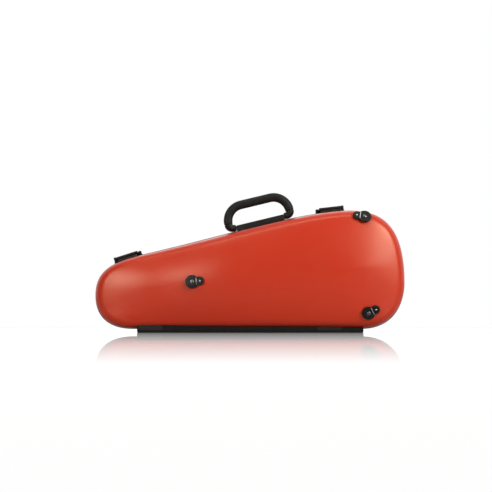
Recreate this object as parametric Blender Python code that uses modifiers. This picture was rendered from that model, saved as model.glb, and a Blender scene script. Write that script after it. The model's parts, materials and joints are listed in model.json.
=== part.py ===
"""Contoured hard-shell violin case, standing on the hinges of its long straight side.

Frame: +X towards the wide body end, +Z up through the handle, -Y out of the base shell's face.
The parting plane between base and lid is y = 0, and the feet stand on z = 0. Everything is in metres.
"""

import math

import bmesh
import bpy
import numpy as np
from mathutils import Matrix, Vector
from mathutils.bvhtree import BVHTree

# ---- driving dimensions ----
BASE, LID = -1, 1  # the side of the parting plane that each shell is on
GAP = 0.0003  # between pieces that touch
CLEAR = 0.0005  # between a shell's skin and what is seated on it
WELD_DISTANCE = 0.00001

# The parting outline, counterclockwise from below the neck end: x, z, heading in degrees, and the length of
# the Bezier handle before and after each anchor.
OUTLINE = (
    (-0.2370, 0.0084, 0.0, 0.050, 0.150),
    (0.2280, 0.0084, 0.0, 0.150, 0.060),
    (0.3150, 0.1030, 90.0, 0.050, 0.105),
    (0.2070, 0.2490, 180.0, 0.070, 0.095),
    (-0.2000, 0.1630, 193.0, 0.150, 0.075),
    (-0.3140, 0.0770, 270.0, 0.055, 0.045),
)

# Each shell is drawn as rings that shrink from the outline to a spine inside it.
SPINE_MID = (0.010, 0.111)
SPINE_HALF = 0.185
SPINE_TILT = math.radians(5.2)
RAY_LENGTHWISE, RAY_CROSSWISE = 0.135, 0.110
RAYS = 52

SHELL_T = 0.0035
WALL_DEPTH = {BASE: 0.0360, LID: 0.0400}
WALL_INSET = 0.0030  # the draft of the side wall over its depth
EDGE_RADIUS = 0.026
CROWN = 0.015
FILLET_STEPS, CROWN_STEPS = 3, 3

NECK_DEPTH = 0.82  # depth of the neck end, as a share of the body's
NECK_END_X, NECK_START_X = -0.195, -0.045
STRAIGHT_DEPTH = 0.010  # the wall next to the rim, which the taper leaves alone

# Rims and seal at the parting plane
RIM_PROUD, RIM_INSIDE = 0.0008, 0.0055
RIM_FACE, RIM_BACK = 0.0009, 0.0052
SEAL_HALF, SEAL_OUT, SEAL_IN = 0.00055, 0.0005, 0.0035
SHELL_START = RIM_BACK + 0.0007  # the shell's leaning wall stays clear of the rim

# Linings
BED_TOP = 0.009
LINER_OUT = SHELL_T + CLEAR
LID_LINER_T = 0.005
POCKET_SKIN = 0.006  # the least foam between a pocket and the shell

# The violin lies along its own axis, from the widest place of its lower bout
VIOLIN_AT = (0.210, 0.129)
VIOLIN_TILT = math.radians(5.06)
BODY_POCKET = (
    (0.094, 0.000, 90.0, 0.061, 0.061),
    (0.000, 0.107, 180.0, 0.052, 0.045),
    (-0.107, 0.075, 180.0, 0.035, 0.034),
    (-0.205, 0.091, 180.0, 0.034, 0.040),
    (-0.276, 0.000, 270.0, 0.050, 0.050),
    (-0.205, -0.091, 0.0, 0.040, 0.034),
    (-0.107, -0.075, 0.0, 0.034, 0.035),
    (0.000, -0.107, 0.0, 0.045, 0.052),
)
NECK_POCKET = (
    (-0.255, 0.029, 180.0, 0.001, 0.045),
    (-0.390, 0.029, 180.0, 0.045, 0.012),
    (-0.440, 0.036, 180.0, 0.015, 0.022),
    (-0.507, 0.000, 270.0, 0.024, 0.024),
    (-0.440, -0.036, 0.0, 0.022, 0.015),
    (-0.390, -0.029, 0.0, 0.012, 0.045),
    (-0.255, -0.029, 0.0, 0.045, 0.001),
)
BODY_FLOOR, NECK_FLOOR = 0.057, 0.044
POCKET_MOUTH = 0.004  # how far the pocket cutters stand out of the bed

# Accessory pocket under the neck, with its flap
STASH_X, STASH_Z = (-0.212, -0.092), (0.030, 0.055)
STASH_FLOOR = 0.040
FLAP_X, FLAP_Z = (-0.216, -0.088), (0.0265, 0.0575)
FLAP_T, FLAP_RECESS = 0.0028, 0.0034

# Hinges, and the foot rail on the bottom of each shell
HINGE_X = (-0.1995, 0.1605)
HINGE_Z = 0.0044
HINGE_HALF = 0.024
KNUCKLE_R, KNUCKLE_HALF, PIN_R, PIN_FIT = 0.0034, 0.0109, 0.0016, 0.0003
LEAF_Z = (0.0052, 0.0070)
LEAF_Y = (0.0046, 0.0440)
BLOCK_Y, BLOCK_TOP = 0.0065, 0.020
NOTCH_Y, NOTCH_TOP = 0.0060, 0.0082
RAIL_X, RAIL_Y = (-0.2262, 0.2280), (0.0130, 0.0440)
FOOT_TOP = 0.0049  # the rail's height where it passes under a hinge

# Handle, in its own frame on the shell's top edge
HANDLE_X = 0.020
HANDLE_Y = -0.020
HANDLE_PIVOT = 0.0062
BAR_HALF, BAR_WIDTH, BAR_TOP = 0.0497, 0.0160, 0.0100
LEG_HALF, LOOP_TOP, LOOP_R, FOOT_R = 0.0637, 0.0495, 0.0330, 0.0085
GRIP_R, FOOT_TUBE_R, CORE_R, GRIP_BORE_R = 0.0091, 0.0067, 0.0043, 0.0050
SHOULDER = LOOP_TOP - LOOP_R
GRIP_START = SHOULDER - 0.001  # height of the grip's ends
HANDLE_PIN_R = 0.0025
HANDLE_PIN_X = (0.0430, 0.0590)

# Latches, in a frame on the shell's top edge. The outer end of each has a taller boss.
LATCH_X = (-0.2475, 0.166)
LATCH_OUTER = (-1, 1)  # which end of each latch faces the end of the case
LATCH_HALF, LEVER_HALF = 0.0295, 0.0235
LATCH_AXIS = (0.013, 0.0065)  # y, height
LEVER_BARREL_R, LATCH_PIN_R = 0.0032, 0.0013
LEVER_Y, LEVER_H = (-0.0210, 0.0130), (0.0048, 0.0092)
BRACKET_Y, BRACKET_TOP = (0.0070, 0.0240), 0.0030
LUG_INSET = 0.0004
LUG_Y, LUG_TOP, BOSS_TOP = (0.0085, 0.0175), 0.0098, 0.0122
KEEPER_HALF, KEEPER_Y, KEEPER_TOP = 0.0200, (-0.0200, -0.0075), 0.0042

# Strap fittings on the base's face: x, z and the way the small lobe points, in degrees from +X
FITTINGS = {
    "neck": (-0.1145, 0.1009, 5.0),
    "upper": (0.2300, 0.2305, 170.0),
    "lower": (0.2360, 0.0397, 28.5),
}
POST_R, POST_H, POST_ROOT = 0.0105, 0.0022, 0.0060
EAR_R, LOBE_R, LOBE_AT = 0.0133, 0.0092, 0.0150
EAR_Z = (0.0025, 0.0066)
SCREW_R, SCREW_HEAD_R, SCREW_HEAD_H, SCREW_END = 0.0024, 0.0042, 0.0012, 0.0010
BAR_AT, BAR_LEN, STEEL_BAR_R = 0.0090, 0.0150, 0.0010

RED = ("shell_red", (0.760, 0.090, 0.030), 0.38, 0.0)
BLACK = ("black_plastic", (0.012, 0.012, 0.013), 0.42, 0.0)
RUBBER = ("black_rubber", (0.018, 0.018, 0.018), 0.75, 0.0)
STEEL = ("steel", (0.62, 0.62, 0.63), 0.30, 1.0)
VELOUR = ("grey_velour", (0.060, 0.062, 0.068), 0.95, 0.0)
STRAP = ("webbing", (0.020, 0.020, 0.022), 0.90, 0.0)


# ---- scene and object helpers ----
def clear_scene():
    for obj in list(bpy.data.objects):
        bpy.data.objects.remove(obj, do_unlink=True)


def new_collection(name):
    found = bpy.data.collections.new(name)
    bpy.context.scene.collection.children.link(found)
    return found


def paint(obj, finish):
    name, rgb, roughness, metallic = finish
    made = bpy.data.materials.get(name)
    if made is None:
        made = bpy.data.materials.new(name)
        made.use_nodes = True
        shader = made.node_tree.nodes["Principled BSDF"]
        shader.inputs["Base Color"].default_value = (*rgb, 1.0)
        shader.inputs["Roughness"].default_value = roughness
        shader.inputs["Metallic"].default_value = metallic
    obj.data.materials.clear()
    obj.data.materials.append(made)


def add(name, bm, finish=None, parent=None, place=None):
    """Links the bmesh as an object: a part when it has a finish, and otherwise a cutter."""
    bmesh.ops.recalc_face_normals(bm, faces=bm.faces)
    mesh = bpy.data.meshes.new(name)
    bm.to_mesh(mesh)
    bm.free()
    return link(name, mesh, finish, parent, place)


def link(name, mesh, finish=None, parent=None, place=None):
    obj = bpy.data.objects.new(name, mesh)
    (PARTS if finish else CUTTERS).objects.link(obj)
    if finish:
        paint(obj, finish)
        mesh.shade_smooth()
        mesh.set_sharp_from_angle(angle=math.radians(35))
    else:
        obj.hide_render = True
        obj.display_type = "WIRE"
    if parent:
        obj.parent = parent
    if place is not None:
        obj.matrix_basis = place
    return obj


def frame_at(name, matrix):
    empty = bpy.data.objects.new(name, None)
    PARTS.objects.link(empty)
    empty.matrix_world = matrix
    return empty


def combine(obj, other, operation="DIFFERENCE"):
    boolean = obj.modifiers.new(other.name, "BOOLEAN")
    boolean.operation = operation
    boolean.object = other
    return obj


def soften(obj, width, segments=2):
    bevel = obj.modifiers.new("rounded_edges", "BEVEL")
    bevel.width = width
    bevel.segments = segments
    bevel.limit_method = "ANGLE"
    bevel.angle_limit = math.radians(40)
    return obj


def box(low, high):
    """A block between two corners."""
    low, high = Vector(low), Vector(high)
    bm = bmesh.new()
    size = Matrix.Diagonal((*(high - low), 1.0))
    bmesh.ops.create_cube(bm, size=1.0, matrix=Matrix.Translation((low + high) / 2) @ size)
    return bm


def cylinder(radius, start, end, sides=24):
    """A cylinder whose axis runs from start to end."""
    start, end = Vector(start), Vector(end)
    turn = (end - start).to_track_quat("Z", "Y").to_matrix().to_4x4()
    bm = bmesh.new()
    bmesh.ops.create_cone(
        bm,
        cap_ends=True,
        segments=sides,
        radius1=radius,
        radius2=radius,
        depth=(end - start).length,
        matrix=Matrix.Translation((start + end) / 2) @ turn,
    )
    return bm


# ---- the case's form ----
def bezier_loop(anchors, steps):
    """Points along a closed Bezier outline, given as x, z, heading, handle before, handle after."""
    points = []
    for here, there in zip(anchors, anchors[1:] + anchors[:1]):
        p0, p3 = np.array(here[:2]), np.array(there[:2])
        a0, a3 = math.radians(here[2]), math.radians(there[2])
        p1 = p0 + here[4] * np.array((math.cos(a0), math.sin(a0)))
        p2 = p3 - there[3] * np.array((math.cos(a3), math.sin(a3)))
        for t in np.arange(steps) / steps:
            s = 1 - t
            points.append(s**3 * p0 + 3 * s * s * t * p1 + 3 * s * t * t * p2 + t**3 * p3)
    return np.array(points)


def ray_reach(loop, origin, direction):
    """Distance from origin to the closed loop along the direction, and the loop's outward normal there."""
    ahead = np.roll(loop, -1, axis=0) - loop
    offset = loop - origin
    cross = direction[0] * ahead[:, 1] - direction[1] * ahead[:, 0]
    along = (offset[:, 0] * ahead[:, 1] - offset[:, 1] * ahead[:, 0]) / cross
    share = (offset[:, 0] * direction[1] - offset[:, 1] * direction[0]) / cross
    hit = np.where((share >= -1e-9) & (share <= 1 + 1e-9) & (along > 0))[0]
    best = hit[np.argmax(along[hit])]
    edge = ahead[best] / np.linalg.norm(ahead[best])
    return along[best], np.array((edge[1], -edge[0]))


def rays():
    """For each ray: its point on the spine, direction, reach to the outline and the outline's normal."""
    loop = bezier_loop(OUTLINE, 60)
    lengthwise = np.array((math.cos(SPINE_TILT), math.sin(SPINE_TILT)))
    crosswise = np.array((-lengthwise[1], lengthwise[0]))
    found = []
    for k in range(RAYS):
        c, s = math.cos(math.tau * k / RAYS), math.sin(math.tau * k / RAYS)
        origin = np.array(SPINE_MID) + SPINE_HALF * c * lengthwise
        direction = RAY_LENGTHWISE * c * lengthwise + RAY_CROSSWISE * s * crosswise
        direction /= np.linalg.norm(direction)
        found.append((origin, direction, *ray_reach(loop, origin, direction)))
    return found


def depth_share(x):
    """How deep the case is at x, as a share of its depth at the body."""
    t = min(1.0, max(0.0, (x - NECK_END_X) / (NECK_START_X - NECK_END_X)))
    return NECK_DEPTH + (1 - NECK_DEPTH) * t * t * (3 - 2 * t)


def section(reach, side, start):
    """The shell's section from the parting plane to the spine, as pairs of inset and depth."""
    wall = WALL_DEPTH[side]
    steep = math.atan2(wall, WALL_INSET)
    centre_inset = WALL_INSET + EDGE_RADIUS * math.sin(steep)
    centre_depth = wall - EDGE_RADIUS * math.cos(steep)
    shallow = math.atan(2 * CROWN / (reach - centre_inset))
    pairs = [(WALL_INSET * start / wall, start), (WALL_INSET, wall)]
    for k in range(1, FILLET_STEPS + 1):
        tilt = steep + (shallow - steep) * k / FILLET_STEPS
        pairs.append(
            (centre_inset - EDGE_RADIUS * math.sin(tilt), centre_depth + EDGE_RADIUS * math.cos(tilt))
        )
    inset, depth = pairs[-1]
    shoulder = centre_depth + EDGE_RADIUS  # the crown's foot, the same for every ray
    for k in range(1, CROWN_STEPS + 1):
        t = k / CROWN_STEPS
        top = shoulder + CROWN
        rise = (top - depth) * (1 - (1 - t) ** 2)
        pairs.append((inset + (reach - inset) * t, depth + rise))
    return pairs


def dish(side, start, offset=0.0, capped=False):
    """One side's outer surface from the depth start inwards, moved out along its normals by offset."""
    bm = bmesh.new()
    rings = []
    for origin, direction, reach, _ in rays():
        column = []
        for inset, depth in section(reach, side, start):
            x, z = origin + direction * (reach - inset)
            extra = max(0.0, depth - STRAIGHT_DEPTH)
            column.append((x, side * (depth - extra * (1 - depth_share(x))), z))
        rings.append(column)
    rings = list(zip(*rings))
    grid = [[bm.verts.new(p) for p in ring] for ring in rings[:-1]]
    spine = [bm.verts.new(p) for p in rings[-1][: RAYS // 2 + 1]]
    grid.append([spine[min(k, RAYS - k)] for k in range(RAYS)])
    for outer, inner in zip(grid, grid[1:]):
        for k in range(RAYS):
            n = (k + 1) % RAYS
            bm.faces.new((outer[k], outer[n], inner[n], inner[k]))
    bmesh.ops.recalc_face_normals(bm, faces=bm.faces)
    face_out(bm, side)
    if offset:
        bm.normal_update()
        moved = [(v, v.co + v.normal * offset) for v in bm.verts]
        for v, to in moved:
            v.co = to
        for v in grid[0]:
            v.co.y = side * start
    if capped:
        bm.faces.new(grid[0])
    return bm


def face_out(bm, side):
    """Turns an open dish's faces to point away from the parting plane."""
    bm.normal_update()
    if sum(f.normal.y * f.calc_area() for f in bm.faces) * side < 0:
        bmesh.ops.reverse_faces(bm, faces=bm.faces)


def band(y_low, y_high, inside, outside):
    """A ring that follows the outline between two offsets from it."""
    bm = bmesh.new()
    loops = []
    for y, out in ((y_low, outside), (y_high, outside), (y_high, -inside), (y_low, -inside)):
        ring = []
        for origin, direction, reach, normal in rays():
            x, z = origin + direction * reach + normal * out
            ring.append(bm.verts.new((x, y, z)))
        loops.append(ring)
    for here, there in zip(loops, loops[1:] + loops[:1]):
        for k in range(RAYS):
            n = (k + 1) % RAYS
            bm.faces.new((here[k], here[n], there[n], there[k]))
    return bm


def outline_prism(anchors, y_low, y_high, steps=6):
    """A flat-ended solid over an outline that is given in the violin's own axes."""
    c, s = math.cos(VIOLIN_TILT), math.sin(VIOLIN_TILT)
    ring = []
    bm = bmesh.new()
    for u, v in bezier_loop(anchors, steps):
        x = VIOLIN_AT[0] + u * c - v * s
        z = VIOLIN_AT[1] + u * s + v * c
        ring.append(bm.verts.new((x, y_low, z)))
    bm.faces.new(ring)
    grown = bmesh.ops.extrude_face_region(bm, geom=list(bm.faces))
    for v in grown["geom"]:
        if isinstance(v, bmesh.types.BMVert):
            v.co.y = y_high
    return bm


def violin_frame():
    """A frame whose +X runs along the violin's axis, towards its tail."""
    return Matrix.Translation((VIOLIN_AT[0], 0, VIOLIN_AT[1])) @ Matrix.Rotation(-VIOLIN_TILT, 4, "Y")


def top_frame(x, name):
    """A frame on the top edge of the outline: +X along the edge, +Z out of it."""
    loop = bezier_loop(OUTLINE, 60)
    upper = [k for k in range(len(loop)) if loop[k][1] > SPINE_MID[1]]
    k = min(upper, key=lambda i: abs(loop[i][0] - x))
    run = loop[k + 1] - loop[k - 1]
    slope = math.atan2(-run[1], -run[0])
    place = Matrix.Translation((loop[k][0], 0, loop[k][1])) @ Matrix.Rotation(-slope, 4, "Y")
    return frame_at(name, place)


# ---- shells, rims and linings ----
def shells():
    for name, side in (("base_shell", BASE), ("lid_shell", LID)):
        mesh = bpy.data.meshes.new(name)
        bm = dish(side, SHELL_START)
        bm.to_mesh(mesh)
        bm.free()
        shell = link(name, mesh, RED)
        solidify = shell.modifiers.new("wall", "SOLIDIFY")
        solidify.thickness = SHELL_T
        solidify.offset = -1.0


def rims():
    """Both rims, relieved round the hinges, and the seal between them."""
    base = add("base_rim", band(-RIM_BACK, -RIM_FACE, RIM_INSIDE, RIM_PROUD), RUBBER)
    lid = add("lid_rim", band(RIM_FACE, RIM_BACK, RIM_INSIDE, RIM_PROUD), RUBBER)
    reach = HINGE_HALF + 2 * GAP
    for k, x in enumerate(HINGE_X):
        notch = add(f"rim_notch_{k}", box((x - reach, -NOTCH_Y, 0), (x + reach, NOTCH_Y, NOTCH_TOP)))
        combine(base, notch)
        combine(lid, notch)
    add("lid_seal", band(-SEAL_HALF, SEAL_HALF, SEAL_IN, -SEAL_OUT), RUBBER)


def bed():
    """The foam bed, with the violin's pocket, the accessory pocket and the recess for its flap."""
    block = add("base_bed", dish(BASE, BED_TOP, -LINER_OUT, capped=True), VELOUR)
    pocket = add("body_pocket", outline_prism(BODY_POCKET, -BODY_FLOOR, POCKET_MOUTH / 2))
    neck = add("neck_pocket", outline_prism(NECK_POCKET, -NECK_FLOOR, POCKET_MOUTH / 3))
    stash = box((STASH_X[0], -STASH_FLOOR, STASH_Z[0]), (STASH_X[1], POCKET_MOUTH / 4, STASH_Z[1]))
    combine(pocket, neck, "UNION")
    combine(pocket, add("stash_pocket", stash), "UNION")
    room = add("pocket_room", dish(BASE, -POCKET_MOUTH, -(LINER_OUT + POCKET_SKIN), capped=True))
    combine(pocket, room, "INTERSECT")
    combine(block, pocket)
    low = (FLAP_X[0] - 0.001, -BED_TOP - FLAP_RECESS, FLAP_Z[0] - 0.001)
    high = (FLAP_X[1] + 0.001, POCKET_MOUTH, FLAP_Z[1] + 0.001)
    combine(block, add("flap_recess", box(low, high)))


def bed_fittings():
    """What lies in the bed: the cushions under the violin's back, the neck rest, its strap and the flap."""
    axis = frame_at("violin_axis", violin_frame())
    floor = -BODY_FLOOR + GAP
    for name, u_low, u_high, half in (
        ("lower_back_cushion", -0.006, 0.030, 0.050),
        ("upper_back_cushion", -0.226, -0.194, 0.042),
    ):
        cushion = add(name, box((u_low, floor, -half), (u_high, floor + 0.008, half)), VELOUR, axis)
        soften(cushion, 0.003)
    rest = add("neck_rest", box((-0.398, -NECK_FLOOR + GAP, -0.0284), (-0.372, -0.020, 0.0284)), VELOUR, axis)
    saddle = cylinder(0.0215, (-0.42, -0.014, 0), (-0.35, -0.014, 0))
    combine(rest, add("neck_saddle", saddle, parent=axis))
    neck_strap(axis)
    low = (FLAP_X[0], -BED_TOP - FLAP_T - GAP, FLAP_Z[0])
    flap = add("accessory_flap", box(low, (FLAP_X[1], -BED_TOP - GAP, FLAP_Z[1])), VELOUR)
    soften(flap, 0.0008, 1)


def neck_strap(axis):
    """A webbing strap that arches over the neck, with both ends on the bed."""
    half_width, half_span, rise, thick, steps = 0.013, 0.0375, 0.0060, 0.0016, 10
    bm = bmesh.new()
    rows = []
    for u in (-half_width, half_width):
        row = []
        for k in range(steps + 1):
            t = 2 * k / steps - 1
            y = -BED_TOP + GAP + rise * (1 - t * t) ** 1.5
            row.append(bm.verts.new((-0.352 + u, y, t * half_span)))
        rows.append(row)
    for k in range(steps):
        bm.faces.new((rows[0][k], rows[0][k + 1], rows[1][k + 1], rows[1][k]))
    bm.normal_update()
    if bm.faces[:][0].normal.y < 0:
        bmesh.ops.reverse_faces(bm, faces=bm.faces)
    mesh = bpy.data.meshes.new("neck_strap")
    bm.to_mesh(mesh)
    bm.free()
    strap = link("neck_strap", mesh, STRAP, axis)
    solidify = strap.modifiers.new("web", "SOLIDIFY")
    solidify.thickness = thick
    solidify.offset = 1.0


def lid_lining():
    mesh = bpy.data.meshes.new("lid_lining")
    bm = dish(LID, BED_TOP, -LINER_OUT)
    bm.to_mesh(mesh)
    bm.free()
    lining = link("lid_lining", mesh, VELOUR)
    solidify = lining.modifiers.new("foam", "SOLIDIFY")
    solidify.thickness = LID_LINER_T
    solidify.offset = -1.0


# ---- hinges and feet ----
def on_side(side, low, high):
    """A block given by its distances from the parting plane, on the given side of it."""
    near, far = side * low[1], side * high[1]
    return box((low[0], min(near, far), low[2]), (high[0], max(near, far), high[2]))


def hinge(name, x, shell_room):
    """Two brackets on one pin: the base has the outer knuckles and the lid the middle one."""
    left, right = x - HINGE_HALF, x + HINGE_HALF
    knuckles = {
        BASE: ((left, x - KNUCKLE_HALF - GAP), (x + KNUCKLE_HALF + GAP, right)),
        LID: ((x - KNUCKLE_HALF, x + KNUCKLE_HALF),),
    }
    bore = cylinder(PIN_R + PIN_FIT, (left - 0.01, 0, HINGE_Z), (right + 0.01, 0, HINGE_Z), 16)
    bore = add(f"pin_bore_{name}", bore)
    for side, word in ((BASE, "base"), (LID, "lid")):
        near, far = LEAF_Y
        leaf = on_side(side, (left, near, LEAF_Z[0]), (right, far, LEAF_Z[1]))
        bracket = add(f"hinge_{word}_{name}", leaf, BLACK)
        block = add(
            f"block_{word}_{name}",
            on_side(side, (left, BLOCK_Y, LEAF_Z[0] + GAP), (right, far - GAP, BLOCK_TOP)),
        )
        combine(block, shell_room[side])
        combine(bracket, block, "UNION")
        for k, (low, high) in enumerate(knuckles[side]):
            barrel = cylinder(KNUCKLE_R, (low, 0, HINGE_Z), (high, 0, HINGE_Z), 20)
            combine(bracket, add(f"knuckle_{word}_{name}_{k}", barrel), "UNION")
            web = on_side(side, (low, 0, LEAF_Z[0] + GAP), (high, near + 0.001, LEAF_Z[1] - GAP))
            combine(bracket, add(f"web_{word}_{name}_{k}", web), "UNION")
        combine(bracket, bore)
    add(f"hinge_pin_{name}", cylinder(PIN_R, (left, 0, HINGE_Z), (right, 0, HINGE_Z), 16), STEEL)


def foot_rail(side, word, room):
    """A rubber rail that carries the case. It passes under the hinges and fills up to the shell elsewhere."""
    low, high = (RAIL_X[0], RAIL_Y[0], 0.0), (RAIL_X[1], RAIL_Y[1], BLOCK_TOP)
    rail = soften(add(f"foot_rail_{word}", on_side(side, low, high), RUBBER), 0.002)
    for k, x in enumerate(HINGE_X):
        reach = HINGE_HALF + GAP
        passage = on_side(side, (x - reach, 0, FOOT_TOP), (x + reach, 2 * RAIL_Y[1], 2 * BLOCK_TOP))
        combine(rail, add(f"hinge_passage_{word}_{k}", passage))
    combine(rail, room)


# ---- handle ----
def handle_path():
    """Centreline of the carrying loop in the handle's frame, from one pivot foot round to the other."""
    corner = LEG_HALF - FOOT_R
    points = [(-BAR_HALF - GAP, HANDLE_PIVOT)]
    for k in range(5):
        a = math.radians(90 * k / 4)
        points.append((-corner - FOOT_R * math.sin(a), HANDLE_PIVOT + FOOT_R * (1 - math.cos(a))))
    for k in range(7):
        a = math.radians(90 * k / 6)
        points.append(
            (-(LEG_HALF - LOOP_R) - LOOP_R * math.cos(a), SHOULDER + LOOP_R * math.sin(a))
        )
    return points + [(-x, z) for x, z in reversed(points)]


def tube(name, path, radius, finish, parent, sides=2):
    """A round tube along points in the handle's frame, as a mesh."""
    data = bpy.data.curves.new(name, "CURVE")
    data.dimensions = "3D"
    data.bevel_depth = radius
    data.bevel_resolution = sides
    data.use_fill_caps = True
    spline = data.splines.new("POLY")
    spline.points.add(len(path) - 1)
    for point, (x, z) in zip(spline.points, path):
        point.co = (x, HANDLE_Y, z, 1.0)
    curve = bpy.data.objects.new(name + "_curve", data)
    bpy.context.scene.collection.objects.link(curve)
    graph = bpy.context.evaluated_depsgraph_get()
    mesh = bpy.data.meshes.new_from_object(curve.evaluated_get(graph))
    bpy.data.objects.remove(curve, do_unlink=True)
    bm = bmesh.new()
    bm.from_mesh(mesh)
    bmesh.ops.remove_doubles(bm, verts=bm.verts, dist=1e-6)
    return add(name, bm, finish, parent)


def handle(shell_room):
    frame = top_frame(HANDLE_X, "handle_frame")
    low, high = HANDLE_Y - BAR_WIDTH / 2, HANDLE_Y + BAR_WIDTH / 2
    bar = add("handle_base", box((-BAR_HALF, low, -0.006), (BAR_HALF, high, BAR_TOP)), BLACK, frame)
    soften(bar, 0.0025)
    combine(bar, shell_room[BASE])
    bore_low, bore_high = HANDLE_PIN_X[0] - 0.001, HANDLE_PIN_X[1] + 0.001
    path = handle_path()
    arch = [p for p in path if p[1] >= SHOULDER]
    grip_path = [(-LEG_HALF, GRIP_START)] + arch + [(LEG_HALF, GRIP_START)]
    bow = tube("handle_bow", path, CORE_R, BLACK, frame)
    foot_path = [p for p in path[: len(path) // 2] if p[1] < GRIP_START]
    foot_end = (-LEG_HALF, GRIP_START - GAP)
    for k, mirror in enumerate((1, -1)):
        points = [(x * mirror, z) for x, z in foot_path + [foot_end]]
        combine(bow, tube(f"pivot_foot_{k}", points, FOOT_TUBE_R, None, frame, 3), "UNION")
    for k, sign in enumerate((-1, 1)):
        ends = [(sign * x, HANDLE_Y, HANDLE_PIVOT) for x in (bore_low, bore_high)]
        bore = cylinder(HANDLE_PIN_R + GAP, *ends, 16)
        cutter = add(f"handle_bore_{k}", bore, parent=frame)
        combine(bar, cutter)
        combine(bow, cutter)
    grip = tube("handle_grip", grip_path, GRIP_R, RUBBER, frame, 3)
    hollow = [(-LEG_HALF, GRIP_START - 0.004)] + arch + [(LEG_HALF, GRIP_START - 0.004)]
    combine(grip, tube("grip_bore", hollow, GRIP_BORE_R, None, frame))
    for word, sign in (("neck", -1), ("body", 1)):
        ends = [(sign * x, HANDLE_Y, HANDLE_PIVOT) for x in HANDLE_PIN_X]
        add(f"handle_pin_{word}", cylinder(HANDLE_PIN_R, *ends, 16), STEEL, frame)


# ---- latches ----
def latch(name, x, outer, shell_room):
    """A snap latch: the lever turns on the lid's bracket and its free edge covers the base's keeper."""
    frame = top_frame(x, f"latch_frame_{name}")
    y, height = LATCH_AXIS
    bracket = add(
        f"latch_bracket_{name}",
        box((-LATCH_HALF, BRACKET_Y[0], -0.005), (LATCH_HALF, BRACKET_Y[1], BRACKET_TOP)),
        BLACK,
        frame,
    )
    combine(bracket, shell_room[LID])
    for word, sign, top in (("inner", -outer, LUG_TOP), ("outer", outer, BOSS_TOP)):
        near, far = sign * (LEVER_HALF + GAP), sign * (LATCH_HALF - LUG_INSET)
        lug = box(
            (min(near, far), LUG_Y[0], BRACKET_TOP - 0.001),
            (max(near, far), LUG_Y[1], top),
        )
        combine(bracket, soften(add(f"lug_{word}_{name}", lug, parent=frame), 0.001, 1), "UNION")
    reach = LATCH_HALF + 0.005
    bore = cylinder(LATCH_PIN_R + GAP, (-reach, y, height), (reach, y, height), 14)
    cutter = add(f"latch_bore_{name}", bore, parent=frame)
    combine(bracket, cutter)
    lever = add(
        f"latch_lever_{name}",
        cylinder(LEVER_BARREL_R, (-LEVER_HALF, y, height), (LEVER_HALF, y, height), 20),
        BLACK,
        frame,
    )
    plate = box((-LEVER_HALF, LEVER_Y[0], LEVER_H[0]), (LEVER_HALF, LEVER_Y[1], LEVER_H[1]))
    combine(lever, soften(add(f"lever_plate_{name}", plate, parent=frame), 0.0012), "UNION")
    combine(lever, cutter)
    pin_half = LATCH_HALF - 2 * LUG_INSET
    pin = cylinder(LATCH_PIN_R, (-pin_half, y, height), (pin_half, y, height), 12)
    add(f"latch_pin_{name}", pin, STEEL, frame)
    keeper = add(
        f"latch_keeper_{name}",
        box((-KEEPER_HALF, KEEPER_Y[0], -0.005), (KEEPER_HALF, KEEPER_Y[1], KEEPER_TOP)),
        BLACK,
        frame,
    )
    soften(keeper, 0.0012)
    combine(keeper, shell_room[BASE])


# ---- strap fittings ----
def fitting_frame(name, x, z, lobe_angle, skin):
    """A frame on the base's face: +Z out of the face, +X along the small lobe."""
    at, normal, _, _ = skin.ray_cast(Vector((x, -1.0, z)), Vector((0.0, 1.0, 0.0)))
    lobe = Vector((math.cos(math.radians(lobe_angle)), 0.0, math.sin(math.radians(lobe_angle))))
    lobe = (lobe - normal * lobe.dot(normal)).normalized()
    across = normal.cross(lobe)
    turn = Matrix((lobe, across, normal)).transposed().to_4x4()
    return frame_at(name, Matrix.Translation(at) @ turn)


def strap_fitting(name, x, z, lobe_angle, skin, shell_room):
    """A post on the shell and a two-lobed ear that swivels on it round a screw."""
    frame = fitting_frame(f"fitting_{name}", x, z, lobe_angle, skin)
    post = add(f"strap_post_{name}", cylinder(POST_R, (0, 0, -POST_ROOT), (0, 0, POST_H)), BLACK, frame)
    combine(post, shell_room[BASE])
    ear = add(f"strap_ear_{name}", cylinder(EAR_R, (0, 0, EAR_Z[0]), (0, 0, EAR_Z[1]), 26), BLACK, frame)
    lobe = cylinder(LOBE_R, (LOBE_AT, 0, EAR_Z[0]), (LOBE_AT, 0, EAR_Z[1]), 22)
    combine(ear, add(f"lobe_{name}", lobe, parent=frame), "UNION")
    bore = cylinder(SCREW_R + GAP, (0, 0, -POST_ROOT - 0.001), (0, 0, EAR_Z[1] + 0.001), 16)
    cutter = add(f"screw_bore_{name}", bore, parent=frame)
    combine(post, cutter)
    combine(ear, cutter)
    groove = box(
        (BAR_AT - STEEL_BAR_R - GAP, -BAR_LEN / 2 - GAP, EAR_Z[1] - 2 * STEEL_BAR_R),
        (BAR_AT + STEEL_BAR_R + GAP, BAR_LEN / 2 + GAP, EAR_Z[1] + 0.001),
    )
    combine(ear, add(f"bar_groove_{name}", groove, parent=frame))
    bar_z = EAR_Z[1] - STEEL_BAR_R + GAP
    bar = cylinder(STEEL_BAR_R, (BAR_AT, -BAR_LEN / 2, bar_z), (BAR_AT, BAR_LEN / 2, bar_z), 12)
    add(f"strap_bar_{name}", bar, STEEL, frame)
    head_z = EAR_Z[1] + GAP
    screw = add(f"strap_screw_{name}", cylinder(SCREW_R, (0, 0, SCREW_END), (0, 0, head_z + SCREW_HEAD_H / 2), 16), STEEL, frame)
    head = cylinder(SCREW_HEAD_R, (0, 0, head_z), (0, 0, head_z + SCREW_HEAD_H), 20)
    combine(screw, add(f"screw_head_{name}", head, parent=frame), "UNION")


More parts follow.
